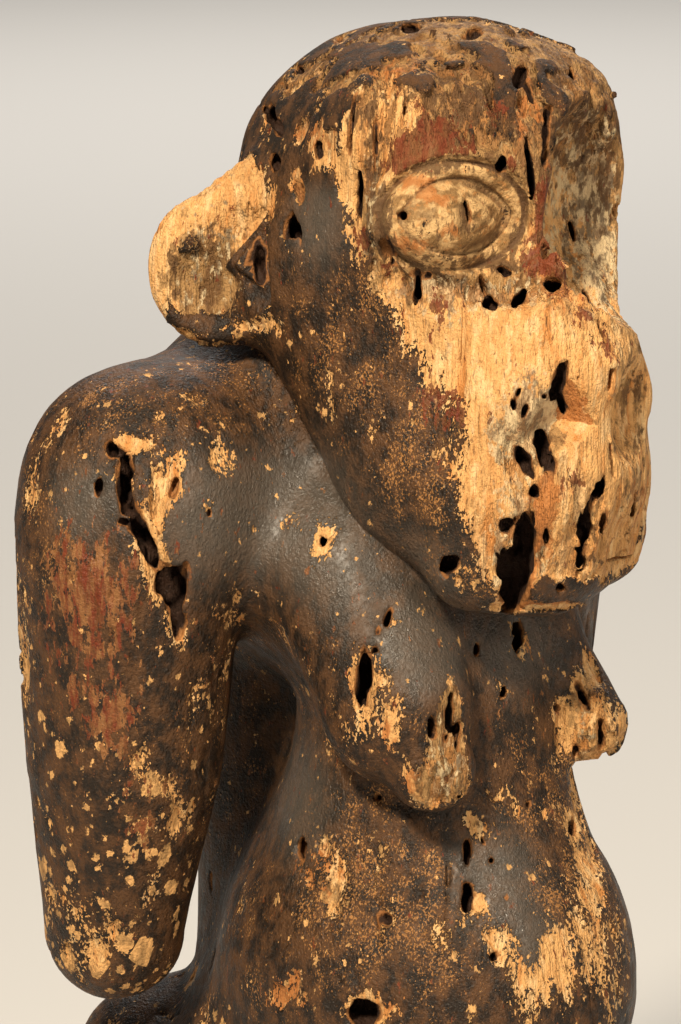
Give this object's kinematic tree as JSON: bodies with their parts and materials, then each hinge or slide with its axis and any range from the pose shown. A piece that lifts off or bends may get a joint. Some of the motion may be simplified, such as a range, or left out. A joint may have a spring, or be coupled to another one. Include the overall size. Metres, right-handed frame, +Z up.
{
  "type": "carved wooden ape figure",
  "caption": "Standing ape-like female figure carved from one log, hunched, with a long muzzle, cupped ears, pointed breasts and a swollen belly, on a low round base.",
  "frame": {"origin": "centre of the round base's underside", "axes": "+Z up; the figure faces -Y, and its own left side is +X"},
  "size_m": [0.1912, 0.1689, 0.4368],
  "materials": {
    "aged_wood": "dark worn crust over bare tan wood, insect-eaten"
  },
  "bodies": {
    "root": {"figure": "aged_wood"}
  },
  "joints": []
}
